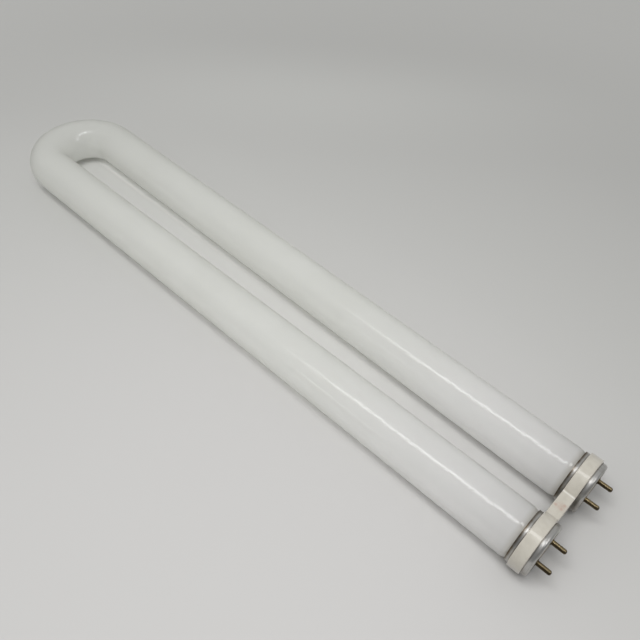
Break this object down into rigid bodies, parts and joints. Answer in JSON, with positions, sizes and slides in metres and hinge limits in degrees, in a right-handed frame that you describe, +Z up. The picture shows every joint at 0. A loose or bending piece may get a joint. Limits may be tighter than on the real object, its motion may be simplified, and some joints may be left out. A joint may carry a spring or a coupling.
{
  "type": "u shaped fluorescent bulb",
  "caption": "U shaped fluorescent lamp: white coated glass tube bent back on itself, aluminium end caps joined by an ivory plastic strap, brass contact pins at the open end.",
  "frame": {"origin": "middle of the lamp's outline, on the surface that it lies on", "axes": "+X along the legs towards the contact pins, Y across the two legs, +Z up from the surface"},
  "size_m": [0.419, 0.0742, 0.0285],
  "materials": {
    "coated_glass": "glossy outside, opaque white coating inside",
    "cap_aluminium": "satin",
    "insulator": "matt",
    "cement": "matt",
    "pin_brass": "dull, darkened",
    "lead_metal": "drawn wire",
    "strap_plastic": "smooth moulded"
  },
  "bodies": {
    "root": {"glass_tube": "coated_glass", "base_cap_left": "cap_aluminium", "base_cap_right": "cap_aluminium", "base_insulator_left": "insulator", "base_insulator_right": "insulator", "basing_cement_left": "cement", "basing_cement_right": "cement", "contact_pin_left_outer": "pin_brass", "contact_pin_left_inner": "pin_brass", "contact_pin_right_inner": "pin_brass", "contact_pin_right_outer": "pin_brass", "lead_wire_left_outer": "lead_metal", "lead_wire_left_inner": "lead_metal", "lead_wire_right_inner": "lead_metal", "lead_wire_right_outer": "lead_metal", "bridge_strap": "strap_plastic"}
  },
  "joints": []
}
